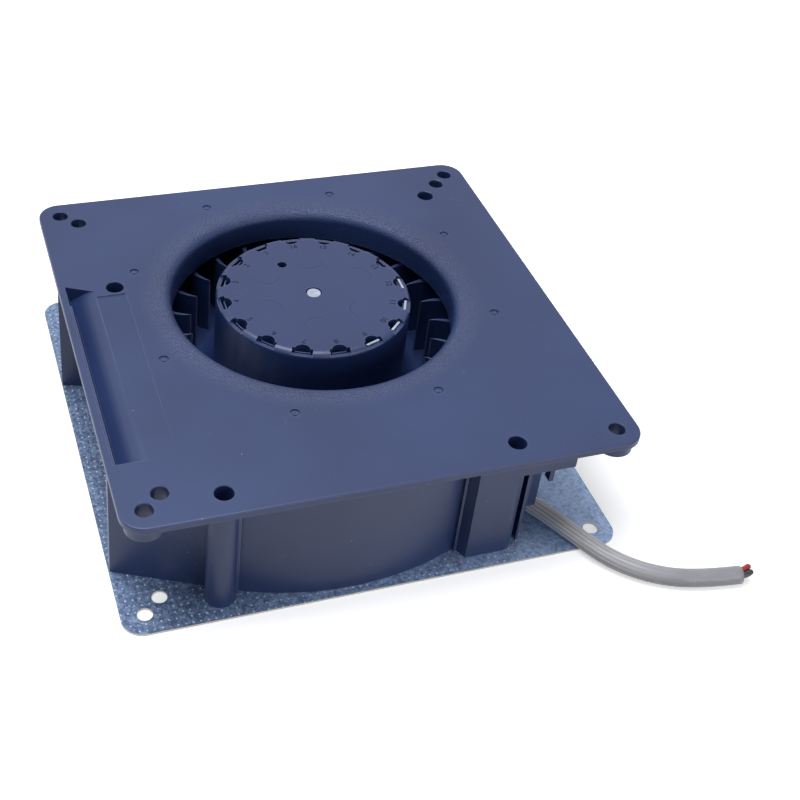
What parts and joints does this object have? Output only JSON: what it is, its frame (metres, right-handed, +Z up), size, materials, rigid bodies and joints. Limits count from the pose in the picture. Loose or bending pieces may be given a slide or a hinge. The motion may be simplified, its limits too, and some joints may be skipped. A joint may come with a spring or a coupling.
{
  "type": "compact radial fan",
  "caption": "Flat radial fan in a square scroll housing: black moulding on a galvanised plate, round inlet with numbered rotor hub, side outlet, short sleeved lead.",
  "frame": {"origin": "middle of the base plate's underside", "axes": "+Z up out of the inlet, along the rotor axis; the air outlet faces -X; the lead leaves at the front right, at +X and -Y"},
  "size_m": [0.2658, 0.2572, 0.061],
  "materials": {
    "black_plastic": "fine moulded satin, slate black",
    "galvanised_steel": "zinc spangle with a rolled grid of small dots",
    "cast_aluminium": "as cast, matt",
    "bright_steel": "ground",
    "screw_steel": "zinc plated",
    "rotor_steel": "drawn and plated",
    "core_steel": "stacked laminations",
    "brass": "turned",
    "ferrite": "pressed, dull",
    "copper_wire": "enamelled wire",
    "insulator_plastic": "moulded nylon",
    "board_laminate": "solder mask",
    "component_black": "moulded epoxy",
    "component_blue": "shrink sleeve",
    "cage_brass": "pressed",
    "sleeve_grey": "woven glass sleeve, varnished",
    "red_insulation": "smooth",
    "black_insulation": "smooth"
  },
  "bodies": {
    "housing": {"base_plate": "galvanised_steel", "scroll_housing": "black_plastic", "housing_screws": "screw_steel", "motor_flange": "cast_aluminium", "motor_screws": "screw_steel", "stator_core": "core_steel", "upper_insulator": "insulator_plastic", "lower_insulator": "insulator_plastic", "stator_windings": "copper_wire", "circuit_board": "board_laminate", "drive_transistors": "component_black", "hall_sensor": "component_black", "filter_capacitor": "component_blue", "lower_bearing_outer_race": "bright_steel", "upper_bearing_outer_race": "bright_steel", "lead_sleeve": "sleeve_grey", "red_lead": "red_insulation", "black_lead": "black_insulation", "red_lead_tail": "red_insulation", "black_lead_tail": "black_insulation"},
    "rotor": {"impeller": "black_plastic", "balance_clips": "bright_steel", "rotor_bell": "rotor_steel", "rotor_magnet": "ferrite", "rotor_bush": "brass", "motor_shaft": "bright_steel", "retaining_ring": "screw_steel", "spring_washer": "screw_steel", "lower_bearing_inner_race": "bright_steel", "upper_bearing_inner_race": "bright_steel"},
    "lower_ball_set": {"lower_bearing_balls": "bright_steel", "lower_bearing_cage": "cage_brass"},
    "upper_ball_set": {"upper_bearing_balls": "bright_steel", "upper_bearing_cage": "cage_brass"}
  },
  "joints": [
    {"name": "rotor_spin", "type": "hinge", "parent": "housing", "child": "rotor", "pos_m": [0.0028, 0.0165, 0.0305], "axis": [0, 0, 1], "continuous": true},
    {"name": "lower_balls_roll", "type": "hinge", "parent": "housing", "child": "lower_ball_set", "pos_m": [0.0028, 0.0165, 0.009], "axis": [0, 0, 1], "continuous": true},
    {"name": "upper_balls_roll", "type": "hinge", "parent": "housing", "child": "upper_ball_set", "pos_m": [0.0028, 0.0165, 0.04], "axis": [0, 0, 1], "continuous": true}
  ],
  "couplings": [
    {"joint": "lower_balls_roll", "follows": "rotor_spin", "ratio": 0.35},
    {"joint": "upper_balls_roll", "follows": "rotor_spin", "ratio": 0.35}
  ]
}
